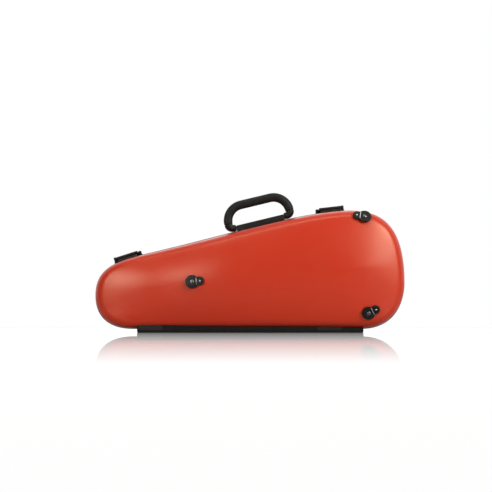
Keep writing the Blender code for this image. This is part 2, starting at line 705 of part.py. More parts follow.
def main():
    shells()
    rims()
    bed()
    bed_fittings()
    lid_lining()
    room = {
        side: add(f"shell_room_{side + 1}", dish(side, 0.0, CLEAR, capped=True)) for side in (BASE, LID)
    }
    for name, x in zip(("neck", "body"), HINGE_X):
        hinge(name, x, room)
    for side, word in ((BASE, "base"), (LID, "lid")):
        foot_rail(side, word, room[side])
    handle(room)
    for name, x, outer in zip(("neck", "body"), LATCH_X, LATCH_OUTER):
        latch(name, x, outer, room)
    outer_skin = dish(BASE, 0.0)
    skin = BVHTree.FromBMesh(outer_skin)
    outer_skin.free()
    for name, (x, z, lobe_angle) in FITTINGS.items():
        strap_fitting(name, x, z, lobe_angle, skin, room)
    for obj in PARTS.objects:
        if obj.name.startswith(("hinge", "handle", "latch")) and obj.modifiers:
            weld = obj.modifiers.new("clean_edges", "WELD")
            weld.merge_threshold = WELD_DISTANCE


clear_scene()
PARTS = new_collection("violin_case")
CUTTERS = new_collection("cutters")
main()
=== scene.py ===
"""Looks of a contoured violin case: lacquered shells, black hardware and a velour interior."""

import json
import math

import bmesh
import bpy
import numpy as np
from mathutils import Matrix, Vector


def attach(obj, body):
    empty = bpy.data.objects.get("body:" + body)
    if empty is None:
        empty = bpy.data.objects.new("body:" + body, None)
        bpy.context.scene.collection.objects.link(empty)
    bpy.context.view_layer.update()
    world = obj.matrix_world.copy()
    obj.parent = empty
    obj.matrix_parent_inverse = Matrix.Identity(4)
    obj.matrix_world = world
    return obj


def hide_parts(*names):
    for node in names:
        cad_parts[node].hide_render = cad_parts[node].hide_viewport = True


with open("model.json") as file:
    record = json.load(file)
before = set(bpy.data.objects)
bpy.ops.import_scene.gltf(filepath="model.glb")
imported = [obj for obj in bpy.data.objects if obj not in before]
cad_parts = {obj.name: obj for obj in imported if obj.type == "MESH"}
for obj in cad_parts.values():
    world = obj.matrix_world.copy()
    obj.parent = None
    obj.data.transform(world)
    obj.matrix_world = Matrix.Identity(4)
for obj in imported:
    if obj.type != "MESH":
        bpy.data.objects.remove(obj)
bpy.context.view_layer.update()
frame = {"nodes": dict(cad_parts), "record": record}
JOINTS = {j["name"]: j for j in frame["record"]["behaviour"]["joints"]}

# ---- dimensions, the same as the frame's ----
BASE, LID = -1, 1
SIDES = ((BASE, "base"), (LID, "lid"))
GAP, CLEAR = 0.0003, 0.0005
# Anchors of closed Bezier loops: two coordinates, heading in degrees, handle behind, handle ahead.
OUTLINE = (
    (-0.2370, 0.0084, 0.0, 0.050, 0.150),
    (0.2280, 0.0084, 0.0, 0.150, 0.060),
    (0.3150, 0.1030, 90.0, 0.050, 0.105),
    (0.2070, 0.2490, 180.0, 0.070, 0.095),
    (-0.2000, 0.1630, 193.0, 0.150, 0.075),
    (-0.3140, 0.0770, 270.0, 0.055, 0.045),
)
SPINE_MID, SPINE_HALF, SPINE_TILT = (0.010, 0.111), 0.185, math.radians(5.2)
RAY_LENGTHWISE, RAY_CROSSWISE = 0.135, 0.110
SHELL_T, WALL_INSET, EDGE_RADIUS, CROWN = 0.0035, 0.0030, 0.026, 0.015
WALL_DEPTH = {BASE: 0.0360, LID: 0.0400}
NECK_DEPTH, NECK_END_X, NECK_START_X, STRAIGHT_DEPTH = 0.82, -0.195, -0.045, 0.010
RIM_PROUD, RIM_INSIDE, RIM_FACE, RIM_BACK = 0.0008, 0.0055, 0.0009, 0.0052
SHELL_START = RIM_BACK + 0.0007
SEAL_HALF, SEAL_OUT, SEAL_IN = 0.00055, 0.0005, 0.0035
BED_TOP, LINER_OUT, LID_LINER_T, POCKET_SKIN = 0.009, SHELL_T + CLEAR, 0.005, 0.006
VIOLIN_AT, VIOLIN_TILT = (0.210, 0.129), math.radians(5.06)
BODY_POCKET = (
    (0.094, 0.000, 90.0, 0.061, 0.061),
    (0.000, 0.107, 180.0, 0.052, 0.045),
    (-0.107, 0.075, 180.0, 0.035, 0.034),
    (-0.205, 0.091, 180.0, 0.034, 0.040),
    (-0.276, 0.000, 270.0, 0.050, 0.050),
    (-0.205, -0.091, 0.0, 0.040, 0.034),
    (-0.107, -0.075, 0.0, 0.034, 0.035),
    (0.000, -0.107, 0.0, 0.045, 0.052),
)
NECK_POCKET = (
    (-0.255, 0.029, 180.0, 0.001, 0.045),
    (-0.390, 0.029, 180.0, 0.045, 0.012),
    (-0.440, 0.036, 180.0, 0.015, 0.022),
    (-0.507, 0.000, 270.0, 0.024, 0.024),
    (-0.440, -0.036, 0.0, 0.022, 0.015),
    (-0.390, -0.029, 0.0, 0.012, 0.045),
    (-0.255, -0.029, 0.0, 0.045, 0.001),
)
BODY_FLOOR, NECK_FLOOR = 0.057, 0.044
HINGE_X, HINGE_HALF = (-0.1995, 0.1605), 0.024
NOTCH_Y, NOTCH_TOP = 0.0060, 0.0082
RAIL_X, RAIL_Y, RAIL_TOP, FOOT_TOP = (-0.2262, 0.2280), (0.0130, 0.0440), 0.020, 0.0049
LEG_HALF, LOOP_TOP, LOOP_R, FOOT_R, PIVOT_H = 0.0637, 0.0495, 0.0330, 0.0085, 0.0062
GRIP_R, FOOT_R_LOW, FOOT_R_HIGH = 0.0090, 0.0066, 0.0086
SHOULDER = LOOP_TOP - LOOP_R
BAR_HALF, BAR_WIDTH, BAR_TOP = 0.0497, 0.0160, 0.0100
LATCH_Y, LATCH_H = 0.013, 0.0065
LEVER_HALF, LEVER_Y, LEVER_H = 0.0235, (-0.0210, 0.0130), (0.0048, 0.0092)
EAR_R, LOBE_R, LOBE_AT, EAR_Z = 0.0133, 0.0092, 0.0150, (0.0025, 0.0066)
LOBE_ANGLES = {"neck": 5.0, "upper": 170.0, "lower": 28.5}

# ---- details of the finer pieces ----
CORE = 0.0001  # the radius at which a turned solid's caps begin
ROUND_FACETS, SMALL_FACETS, TUBE_FACETS, GRIP_FACETS = 40, 28, 36, 44
FINE, COARSE = 216, 120  # columns round the outline
STEPS, COARSE_STEPS = 12, 6  # rows on a shell and on the solids that only cut or fill
RIM_ROUND, SEAL_ROUND, RAIL_ROUND = 0.0011, 0.0004, 0.002
GROOVES, GROOVE_PITCH, GROOVE_HALF, GROOVE_DEEP, GROOVE_END = 4, 0.0062, 0.0008, 0.0010, 0.006
NOSE, COLLAR, COLLAR_DEEP = 0.0022, (0.0030, 0.0042), 0.0006
PIN_BORE_R, PIN_BORE = 0.0029, (0.0450, 0.0602)
BAR_ROUND, TRAY_ENDS, TRAY_EDGE, TRAY_DEEP, BAR_RIVET_X = 0.0016, 0.012, 0.0042, 0.0012, 0.030
RIBS, RIB_START, RIB_PITCH, RIB_HALF_X, RIB_HALF_Y = 5, 0.0035, 0.0022, 0.016, 0.0006
BARREL_R, BARREL_END_R, BARREL_ROUND, LATCH_BORE_R = 0.0032, 0.0028, 0.0004, 0.0016
LOCK_AT = (0.0264, 0.013, 0.0122)
LOBE_RIVET_X = LOBE_AT + 0.0012
EAR_BORE_R, SCREW_R, SCREW_HEAD_R, SLOT_LONG, SLOT_HALF = 0.0028, 0.0024, 0.0040, 0.0021, 0.0004
PIPING_R, PIPING_OUT, PIPING_DEEP, PIPING_SIDES = 0.0017, -0.0063, 0.0075, 10
TINY, NEAR = 1e-9, 1e-6
ALONG_X = Matrix.Rotation(math.pi / 2, 4, "Y")  # lays a turned solid's axis along X


# ---- materials ----
class Nodes:
    """A Principled material with named helpers for its textures."""

    def __init__(self, name, colour, roughness, metallic=0.0, **sockets):
        self.material = bpy.data.materials.new(name)
        self.material.use_nodes = True
        self.tree = self.material.node_tree
        self.shader = self.tree.nodes["Principled BSDF"]
        self.set("Base Color", (*colour, 1.0))
        self.set("Roughness", roughness)
        self.set("Metallic", metallic)
        for socket, value in sockets.items():
            self.set(socket.replace("_", " "), value)
        self.place = self.tree.nodes.new("ShaderNodeTexCoord").outputs["Object"]

    def set(self, socket, value):
        self.shader.inputs[socket].default_value = value

    def link(self, source, target):
        self.tree.links.new(source, target)

    def node(self, kind, **inputs):
        made = self.tree.nodes.new(kind)
        for key, value in inputs.items():
            socket = made.inputs[key.replace("_", " ")]
            if isinstance(value, bpy.types.NodeSocket):
                self.link(value, socket)
            else:
                socket.default_value = value
        return made

    def stretched(self, scale):
        return self.node("ShaderNodeMapping", Vector=self.place, Scale=scale).outputs[0]

    def noise(self, scale, detail=3.0, rough=0.55, place=None):
        place = place or self.place
        made = self.node(
            "ShaderNodeTexNoise", Vector=place, Scale=scale, Detail=detail, Roughness=rough
        )
        return made.outputs["Fac"]

    def cells(self, scale):
        return self.node("ShaderNodeTexVoronoi", Vector=self.place, Scale=scale).outputs["Distance"]

    def fit(self, value, low, high, start, end):
        names = ("From_Min", "From_Max", "To_Min", "To_Max")
        ends = dict(zip(names, (start, end, low, high)))
        return self.node("ShaderNodeMapRange", Value=value, **ends).outputs[0]

    def colours(self, factor, dark, light):
        mix = self.tree.nodes.new("ShaderNodeMix")
        mix.data_type = "RGBA"
        self.link(factor, mix.inputs[0])
        mix.inputs[6].default_value = (*dark, 1.0)
        mix.inputs[7].default_value = (*light, 1.0)
        return mix.outputs[2]

    def base(self, colour):
        self.link(colour, self.shader.inputs["Base Color"])

    def rough(self, value, low, high, start=0.3, end=0.7):
        self.link(self.fit(value, low, high, start, end), self.shader.inputs["Roughness"])

    def bump(self, height, strength, distance):
        made = self.node("ShaderNodeBump", Strength=strength, Distance=distance, Height=height)
        previous = self.shader.inputs["Normal"]
        if previous.is_linked:
            self.link(previous.links[0].from_socket, made.inputs["Normal"])
        self.link(made.outputs[0], previous)


def calculation(tree, operation, *values):
    """A Math node's result; each value is a number or another node's output."""
    made = tree.nodes.new("ShaderNodeMath")
    made.operation = operation
    for socket, value in zip(made.inputs, values):
        if isinstance(value, bpy.types.NodeSocket):
            tree.links.new(value, socket)
        else:
            socket.default_value = value
    return made.outputs[0]


def lacquer():
    n = Nodes("red_lacquer", (0.54, 0.019, 0.0004), 0.38, Coat_Weight=0.2, Coat_Roughness=0.35)
    n.set("Specular IOR Level", 0.75)
    n.set("Specular Tint", (1.0, 0.82, 0.62, 1.0))
    n.base(n.colours(n.noise(9, 4), (0.515, 0.0180, 0.0002), (0.565, 0.0205, 0.0006)))
    n.rough(n.noise(26, 5), 0.35, 0.41)
    n.bump(n.noise(330, 2), 0.10, 0.0004)
    n.bump(n.noise(1900, 1), 0.05, 0.0001)
    return n.material


def moulded(name, colour, roughness, grain=1500, depth=0.00012):
    n = Nodes(name, colour, roughness)
    n.set("Specular IOR Level", 0.3)
    light = tuple(c * 1.5 + 0.0008 for c in colour)
    n.base(n.colours(n.noise(40, 4), colour, light))
    n.rough(n.noise(90, 4), roughness - 0.05, roughness + 0.08)
    n.bump(n.cells(grain), 0.35, depth)
    return n.material


def rubber():
    n = Nodes("black_rubber", (0.004, 0.004, 0.004), 0.75)
    n.base(n.colours(n.noise(60, 5), (0.003, 0.003, 0.003), (0.006, 0.006, 0.0058)))
    n.rough(n.noise(120, 4), 0.68, 0.82)
    n.set("Specular IOR Level", 0.25)
    n.bump(n.noise(2600, 2), 0.30, 0.0001)
    return n.material


def steel(name, dark, light):
    n = Nodes(name, light, 0.26, 1.0)
    streaks = n.noise(120, 3, place=n.stretched((1.0, 14.0, 1.0)))
    n.base(n.colours(streaks, dark, light))
    n.rough(streaks, 0.20, 0.36)
    n.bump(streaks, 0.10, 0.00005)
    return n.material


def velour():
    n = Nodes(
        "charcoal_velour", (0.05, 0.052, 0.058), 0.95, Sheen_Weight=0.55, Sheen_Roughness=0.45
    )
    n.set("Sheen Tint", (0.75, 0.78, 0.85, 1.0))
    nap = n.noise(55, 5, 0.6)
    pile = n.noise(2400, 3, 0.7)
    n.base(n.colours(nap, (0.030, 0.031, 0.036), (0.078, 0.081, 0.092)))
    n.rough(nap, 0.85, 1.0)
    n.bump(nap, 0.25, 0.0006)
    n.bump(pile, 0.55, 0.0004)
    return n.material


def webbing():
    n = Nodes("black_webbing", (0.020, 0.020, 0.022), 0.85, Sheen_Weight=0.25)
    threads = []
    for turn in ((1.0, 0.0, 0.0), (0.0, 0.35, 1.0)):
        wave = n.tree.nodes.new("ShaderNodeTexWave")
        wave.inputs["Scale"].default_value = 240
        wave.inputs["Distortion"].default_value = 0.4
        n.link(n.stretched(turn), wave.inputs["Vector"])
        threads.append(wave.outputs["Fac"])
    weave = calculation(n.tree, "MULTIPLY", *threads)
    n.base(n.colours(weave, (0.010, 0.010, 0.011), (0.040, 0.040, 0.043)))
    n.bump(weave, 0.8, 0.0005)
    return n.material


RED = lacquer()
RIM_BLACK = moulded("rim_black", (0.003, 0.003, 0.003), 0.58)
HARDWARE = moulded("hardware_black", (0.010, 0.010, 0.010), 0.46, 1900, 0.00008)
HANDLE = moulded("handle_black", (0.0035, 0.0035, 0.0036), 0.46)
GRIP = moulded("grip_black", (0.0035, 0.0035, 0.0035), 0.50, 1100, 0.00014)
FITTING = moulded("fitting_black", (0.002, 0.002, 0.002), 0.42, 2200, 0.00006)
RUBBER = rubber()
STEEL = steel("steel", (0.50, 0.50, 0.51), (0.70, 0.70, 0.71))
DARK_STEEL = steel("dark_steel", (0.10, 0.10, 0.11), (0.22, 0.22, 0.23))
VELOUR = velour()
WEBBING = webbing()


# ---- object helpers ----
def plain(name, bm):
    """The bmesh as an object in the scene. The bmesh itself goes."""
    mesh = bpy.data.meshes.new(name)
    bm.to_mesh(mesh)
    bm.free()
    made = bpy.data.objects.new(name, mesh)
    bpy.context.scene.collection.objects.link(made)
    return made


def solid(name, bm):
    """An object from a closed bmesh, with its faces turned outwards."""
    bmesh.ops.recalc_face_normals(bm, faces=bm.faces)
    return plain(name, bm)


def dress(obj, material, body, slot, replaces=(), smooth=40):
    """Makes the object a piece that rides on a body and stands for the CAD nodes that it replaces."""
    obj.data.materials.clear()
    obj.data.materials.append(material)
    obj.data.shade_smooth()
    if smooth:
        obj.data.set_sharp_from_angle(angle=math.radians(smooth))
    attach(obj, body)
    if replaces:
        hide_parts(*replaces)
    return obj


def piece(name, bm, *looks):
    """A solid, dressed."""
    return dress(solid(name, bm), *looks)


def applied(obj):
    """The object's mesh with its modifiers, as a bmesh. The object itself goes."""
    graph = bpy.context.evaluated_depsgraph_get()
    mesh = bpy.data.meshes.new_from_object(obj.evaluated_get(graph))
    bm = bmesh.new()
    bm.from_mesh(mesh)
    bpy.data.objects.remove(obj, do_unlink=True)
    bpy.data.meshes.remove(mesh)
    return bm


def carve(bm, *cutters, operation="DIFFERENCE"):
    """Applies Booleans with other bmeshes to a bmesh."""
    target = solid("carved", bm)
    others = [solid("cutter", c) for c in cutters]
    for other in others:
        boolean = target.modifiers.new("cut", "BOOLEAN")
        boolean.operation = operation
        boolean.object = other
    result = applied(target)
    for other in others:
        bpy.data.objects.remove(other, do_unlink=True)
    return result


def box(low, high, radius=0.0, segments=3):
    low, high = Vector(low), Vector(high)
    bm = bmesh.new()
    size = Matrix.Diagonal((*(high - low), 1.0))
    bmesh.ops.create_cube(bm, size=1.0, matrix=Matrix.Translation((low + high) / 2) @ size)
    if radius:
        bmesh.ops.bevel(
            bm, geom=bm.edges[:], offset=radius, segments=segments, profile=0.5, affect="EDGES"
        )
    return bm


def side_box(side, low, high, radius=0.0):
    near, far = side * low[1], side * high[1]
    return box((low[0], min(near, far), low[2]), (high[0], max(near, far), high[2]), radius)


def loft(rings, endless=False):
    """Skins rings of equal length, and caps the ends. An endless loft joins its ends instead."""
    bm = bmesh.new()
    made = [[bm.verts.new(p) for p in ring] for ring in rings]
    pairs = list(zip(made, made[1:]))
    if endless:
        pairs.append((made[-1], made[0]))
    for a, b in pairs:
        for k in range(len(a)):
            n = (k + 1) % len(a)
            bm.faces.new((a[k], a[n], b[n], b[k]))
    if not endless:
        bm.faces.new(made[0])
        bm.faces.new(made[-1])
    return bm


def turned(profile, place, sides=ROUND_FACETS):
    """A solid of revolution about the frame's Z, from pairs of radius and height."""
    rings = []
    for r, h in profile:
        ring = []
        for k in range(sides):
            a = math.tau * k / sides
            ring.append(place @ Vector((r * math.cos(a), r * math.sin(a), h)))
        rings.append(ring)
    return loft(rings)


def move(bm, place):
    bm.transform(place)
    return bm


def joint_frame(name, flip=False):
    """A frame on a joint, with its X along the axis and its Y along the case's +Y."""
    joint = JOINTS[name]
    x = Vector(joint["axis"]).normalized() * (-1 if flip else 1)
    y = Vector((0, 1, 0))
    z = x.cross(y).normalized()
    turn = Matrix((x, y, z)).transposed().to_4x4()
    return Matrix.Translation(joint["pos_m"]) @ turn


# ---- the case's form ----
def bezier_loop(anchors, steps):
    points = []
    for here, there in zip(anchors, anchors[1:] + anchors[:1]):
        p0, p3 = np.array(here[:2]), np.array(there[:2])
        a0, a3 = math.radians(here[2]), math.radians(there[2])
        p1 = p0 + here[4] * np.array((math.cos(a0), math.sin(a0)))
        p2 = p3 - there[3] * np.array((math.cos(a3), math.sin(a3)))
        for t in np.arange(steps) / steps:
            s = 1 - t
            points.append(s**3 * p0 + 3 * s * s * t * p1 + 3 * s * t * t * p2 + t**3 * p3)
    return np.array(points)


LOOP = bezier_loop(OUTLINE, 400)
LOOP_AHEAD = np.roll(LOOP, -1, axis=0) - LOOP


def ray_reach(origin, direction):
    """How far a ray runs to the outline, and the outline's normal there."""
    offset = LOOP - origin
    cross = direction[0] * LOOP_AHEAD[:, 1] - direction[1] * LOOP_AHEAD[:, 0]
    along = (offset[:, 0] * LOOP_AHEAD[:, 1] - offset[:, 1] * LOOP_AHEAD[:, 0]) / cross
    share = (offset[:, 0] * direction[1] - offset[:, 1] * direction[0]) / cross
    hit = np.where((share >= -TINY) & (share <= 1 + TINY) & (along > 0))[0]
    best = hit[np.argmax(along[hit])]
    edge = LOOP_AHEAD[best] / np.linalg.norm(LOOP_AHEAD[best])
    return along[best], np.array((edge[1], -edge[0]))


def rays(count):
    """Rays from the spine to the outline: origin, direction, reach and normal of each."""
    lengthwise = np.array((math.cos(SPINE_TILT), math.sin(SPINE_TILT)))
    crosswise = np.array((-lengthwise[1], lengthwise[0]))
    found = []
    for k in range(count):
        c, s = math.cos(math.tau * k / count), math.sin(math.tau * k / count)
        origin = np.array(SPINE_MID) + SPINE_HALF * c * lengthwise
        direction = RAY_LENGTHWISE * c * lengthwise + RAY_CROSSWISE * s * crosswise
        direction /= np.linalg.norm(direction)
        found.append((origin, direction, *ray_reach(origin, direction)))
    return found


RAYS = {count: rays(count) for count in (COARSE, FINE)}


def depth_share(x):
    """How deep the case is at x: less at the neck, whole at the body."""
    t = min(1.0, max(0.0, (x - NECK_END_X) / (NECK_START_X - NECK_END_X)))
    return NECK_DEPTH + (1 - NECK_DEPTH) * t * t * (3 - 2 * t)


def section(reach, side, start, steps):
    """The shell's section from the parting plane to the spine, as pairs of inset and depth."""
    wall = WALL_DEPTH[side]
    steep = math.atan2(wall, WALL_INSET)
    centre_inset = WALL_INSET + EDGE_RADIUS * math.sin(steep)
    centre_depth = wall - EDGE_RADIUS * math.cos(steep)
    shallow = math.atan(2 * CROWN / (reach - centre_inset))
    pairs = []
    for k in range(steps // 3):
        depth = start + (wall - start) * k / (steps // 3)
        pairs.append((WALL_INSET * depth / wall, depth))
    for k in range(steps + 1):
        tilt = steep + (shallow - steep) * k / steps
        pairs.append(
            (centre_inset - EDGE_RADIUS * math.sin(tilt), centre_depth + EDGE_RADIUS * math.cos(tilt))
        )
    inset, depth = pairs[-1]
    top = centre_depth + EDGE_RADIUS + CROWN
    for k in range(1, steps + 1):
        t = k / steps
        pairs.append((inset + (reach - inset) * t, depth + (top - depth) * (1 - (1 - t) ** 2)))
    return pairs


def dish(side, start, offset=0.0, capped=False, count=FINE, steps=STEPS):
    """One side's surface from the depth start inwards, moved out along its normals by offset."""
    columns = []
    for origin, direction, reach, _ in RAYS[count]:
        column = []
        for inset, depth in section(reach, side, start, steps):
            x, z = origin + direction * (reach - inset)
            extra = max(0.0, depth - STRAIGHT_DEPTH)
            column.append((x, side * (depth - extra * (1 - depth_share(x))), z))
        columns.append(column)
    rings = list(zip(*columns))
    bm = bmesh.new()
    grid = [[bm.verts.new(p) for p in ring] for ring in rings[:-1]]
    spine = [bm.verts.new(p) for p in rings[-1][: count // 2 + 1]]
    grid.append([spine[min(k, count - k)] for k in range(count)])
    for outer, inner in zip(grid, grid[1:]):
        for k in range(count):
            n = (k + 1) % count
            bm.faces.new((outer[k], outer[n], inner[n], inner[k]))
    bmesh.ops.recalc_face_normals(bm, faces=bm.faces)
    bm.normal_update()
    if sum(f.normal.y * f.calc_area() for f in bm.faces) * side < 0:
        bmesh.ops.reverse_faces(bm, faces=bm.faces)
        bm.normal_update()
    if offset:
        moved = [(v, v.co + v.normal * offset) for v in bm.verts]
        for v, to in moved:
            v.co = to
        for v in grid[0]:
            v.co.y = side * start
    if capped:
        bm.faces.new(grid[0])
    return bm


def coarse_dish(side, start, offset):
    """A closed dish, for the solids that only cut or fill."""
    return dish(side, start, offset, capped=True, count=COARSE, steps=COARSE_STEPS)


def swept(profile):
    """Sweeps a section round the parting outline; it is pairs of distance outside the outline and y."""
    rings = []
    for out, y in profile:
        ring = []
        for origin, direction, reach, normal in RAYS[FINE]:
            x, z = origin + direction * reach + normal * out
            ring.append((x, y, z))
        rings.append(ring)
    return loft(rings, endless=True)


def rounded_section(low, high, radius, steps=4):
    """A rectangle with rounded corners, as points round it."""
    points = []
    corners = (
        (high[0] - radius, high[1] - radius, 0),
        (low[0] + radius, high[1] - radius, 90),
        (low[0] + radius, low[1] + radius, 180),
        (high[0] - radius, low[1] + radius, 270),
    )
    for cx, cy, start in corners:
        for k in range(steps + 1):
            a = math.radians(start + 90 * k / steps)
            points.append((cx + radius * math.cos(a), cy + radius * math.sin(a)))
    return points


# ---- shells, rims and seal ----
def shells():
    for side, word in SIDES:
        shell = plain(f"{word}_shell_skin", dish(side, SHELL_START))
        dress(shell, RED, word, "shell_lacquer", [f"{word}_shell"], smooth=0)
        wall = shell.modifiers.new("wall", "SOLIDIFY")
        wall.thickness = SHELL_T
        wall.offset = -1.0


def rims():
    reach = HINGE_HALF + 2 * GAP
    for side, word in SIDES:
        near, far = sorted((side * RIM_FACE, side * RIM_BACK))
        band = swept(rounded_section((-RIM_INSIDE, near), (RIM_PROUD, far), RIM_ROUND))
        notches = [box((x - reach, -NOTCH_Y, 0), (x + reach, NOTCH_Y, NOTCH_TOP)) for x in HINGE_X]
        band = carve(band, *notches)
        piece(f"{word}_rim_band", band, RIM_BLACK, word, "rim_rubber", [f"{word}_rim"])
    bead = swept(rounded_section((-SEAL_IN, -SEAL_HALF), (-SEAL_OUT, SEAL_HALF), SEAL_ROUND))
    piece("seal_bead", bead, RUBBER, "lid", "rim_rubber", ["lid_seal"])


# ---- rails ----
def rails(rooms):
    """A rubber foot rail under each side, notched for the hinges and grooved along its sole."""
    reach = HINGE_HALF + GAP
    start, end = RAIL_X[0] + GROOVE_END, RAIL_X[1] - GROOVE_END
    for side, word in SIDES:
        low, high = (RAIL_X[0], RAIL_Y[0], 0.0), (RAIL_X[1], RAIL_Y[1], RAIL_TOP)
        rail = side_box(side, low, high, RAIL_ROUND)
        cutters = [side_box(side, (x - reach, 0, FOOT_TOP), (x + reach, 0.09, 0.04)) for x in HINGE_X]
        for k in range(GROOVES):
            y = RAIL_Y[0] + GROOVE_PITCH * (k + 1)
            low, high = (start, y - GROOVE_HALF, -0.001), (end, y + GROOVE_HALF, GROOVE_DEEP)
            cutters.append(side_box(side, low, high))
        rail = carve(rail, rooms[side].copy(), *cutters)
        piece(f"{word}_rail", rail, RUBBER, word, "foot_rubber", [f"foot_rail_{word}"])


# ---- handle ----
def handle_points(fine):
    """Half of the loop's centreline as x and height, from the pivot up to the middle of the top."""
    corner = LEG_HALF - FOOT_R
    points = [(-BAR_HALF - GAP, PIVOT_H)]
    for k in range(fine + 1):
        a = math.radians(90 * k / fine)
        points.append((-corner - FOOT_R * math.sin(a), PIVOT_H + FOOT_R * (1 - math.cos(a))))
    for k in range(2 * fine + 1):
        a = math.radians(90 * k / (2 * fine))
        points.append((-(LEG_HALF - LOOP_R) - LOOP_R * math.cos(a), SHOULDER + LOOP_R * math.sin(a)))
    return points


def tube(path, radii, place, sides=TUBE_FACETS):
    """A round tube along a path in the frame's XZ plane, with a radius for every point."""
    rings = []
    path = [Vector((x, 0, z)) for x, z in path]
    for k, p in enumerate(path):
        before, after = path[max(k - 1, 0)], path[min(k + 1, len(path) - 1)]
        along = (after - before).normalized()
        across = Vector((along.z, 0, -along.x))
        r = radii[k]
        ring = []
        for j in range(sides):
            a = math.tau * j / sides
            ring.append(place @ (p + across * (r * math.cos(a)) + Vector((0, r * math.sin(a), 0))))
        rings.append(ring)
    return loft(rings)


def mirrored(points):
    return points + [(-x, z) for x, z in reversed(points)]


def resample(points, count):
    """Evenly spaced points along a polyline, and each one's distance from its start."""
    points = np.array(points)
    length = np.concatenate(([0], np.cumsum(np.linalg.norm(np.diff(points, axis=0), axis=1))))
    at = np.linspace(0, length[-1], count)
    return [(np.interp(s, length, points[:, 0]), np.interp(s, length, points[:, 1])) for s in at], at


def sleeve_radius(from_end):
    """The grip sleeve's radius: a rounded nose at each end and a shallow collar groove behind it."""
    nose = min(1.0, from_end / NOSE)
    collar = COLLAR_DEEP if COLLAR[0] < from_end < COLLAR[1] else 0.0
    return GRIP_R - NOSE * (1 - math.sqrt(max(0.0, 1 - (1 - nose) ** 2))) - collar


def foot_radius(s, length):
    """The foot's radius: slim at the pivot, where its edge is rounded, and full under the sleeve."""
    share = min(1.0, s / length)
    grown = FOOT_R_LOW + (FOOT_R_HIGH - FOOT_R_LOW) * share * share * (3 - 2 * share)
    return grown - 0.0008 * max(0.0, 1 - s / 0.0010) ** 2


def handle(rooms):
    pivot = joint_frame("handle_fold")
    place = pivot @ Matrix.Translation((0, 0, -PIVOT_H))
    half = handle_points(10)
    arch = mirrored([p for p in half if p[1] >= SHOULDER - NEAR])
    grip_path = [(-LEG_HALF, SHOULDER - 0.001)] + arch + [(LEG_HALF, SHOULDER - 0.001)]
    path, at = resample(grip_path, 150)
    sleeve = tube(path, [sleeve_radius(min(s, at[-1] - s)) for s in at], place, GRIP_FACETS)
    piece("grip_sleeve", sleeve, GRIP, "handle", "grip_rubber", ["handle_grip"], 50)

    low, high = PIN_BORE
    bore_profile = ((CORE, low), (PIN_BORE_R, low), (PIN_BORE_R, high), (CORE, high))
    foot = [p for p in half if p[1] < SHOULDER - NEAR] + [(-LEG_HALF, SHOULDER - 0.0013)]
    for word, mirror, replaced in (("neck", 1, ["handle_bow"]), ("body", -1, [])):
        path, at = resample([(x * mirror, z) for x, z in foot], 34)
        outward = pivot @ Matrix.Rotation(-mirror * math.pi / 2, 4, "Y")
        bore = turned(bore_profile, outward, SMALL_FACETS)
        made = carve(tube(path, [foot_radius(s, at[-1]) for s in at], place), bore)
        piece(f"handle_foot_{word}", made, HANDLE, "handle", "handle_black", replaced)

    low, high = (-BAR_HALF, -BAR_WIDTH / 2, -0.006), (BAR_HALF, BAR_WIDTH / 2, BAR_TOP)
    bar = move(box(low, high, BAR_ROUND, 4), place)
    low = (-BAR_HALF + TRAY_ENDS, -BAR_WIDTH / 2 + TRAY_EDGE, BAR_TOP - TRAY_DEEP)
    high = (BAR_HALF - TRAY_ENDS, BAR_WIDTH / 2 - TRAY_EDGE, BAR_TOP + 0.004)
    tray = move(box(low, high, 0.0008, 2), place)
    bar = carve(bar, rooms[BASE].copy(), tray)
    piece("handle_bar", bar, HANDLE, "base", "handle_black", ["handle_base"])
    for k, x in enumerate((-BAR_RIVET_X, BAR_RIVET_X)):
        head = turned(
            ((CORE, 0), (0.0034, 0), (0.0034, 0.0005), (0.0026, 0.0012), (CORE, 0.0014)),
            place @ Matrix.Translation((x, 0, BAR_TOP - TRAY_DEEP)),
        )
        piece(f"handle_rivet_{k}", head, STEEL, "base", "steel")


# ---- latches ----
def lever(pin_line):
    """A latch's lever: a plate with finger ribs in a shallow tray, and a barrel round its pin."""
    front, top = LEVER_Y[0], LEVER_H[1]
    high = (LEVER_HALF, LEVER_Y[1] + 0.003, top)
    made = box((-LEVER_HALF, front, LEVER_H[0]), high, 0.0012, 4)
    scoops = []
    for k in range(RIBS):
        y = front + RIB_START + RIB_PITCH * k
        low = (-RIB_HALF_X, y - RIB_HALF_Y, top - 0.0005)
        scoops.append(box(low, (RIB_HALF_X, y + RIB_HALF_Y, top + 0.002)))
    scoops.append(box((-0.0195, -0.006, top - 0.0006), (0.0195, 0.0095, top + 0.002), 0.0004, 1))
    made = carve(made, *scoops)
    profile = (
        (CORE, -LEVER_HALF),
        (BARREL_END_R, -LEVER_HALF),
        (BARREL_R, -LEVER_HALF + BARREL_ROUND),
        (BARREL_R, LEVER_HALF - BARREL_ROUND),
        (BARREL_END_R, LEVER_HALF),
        (CORE, LEVER_HALF),
    )
    made = carve(made, turned(profile, pin_line), operation="UNION")
    return carve(made, turned(((LATCH_BORE_R, -0.03), (LATCH_BORE_R, 0.03)), pin_line, 20))


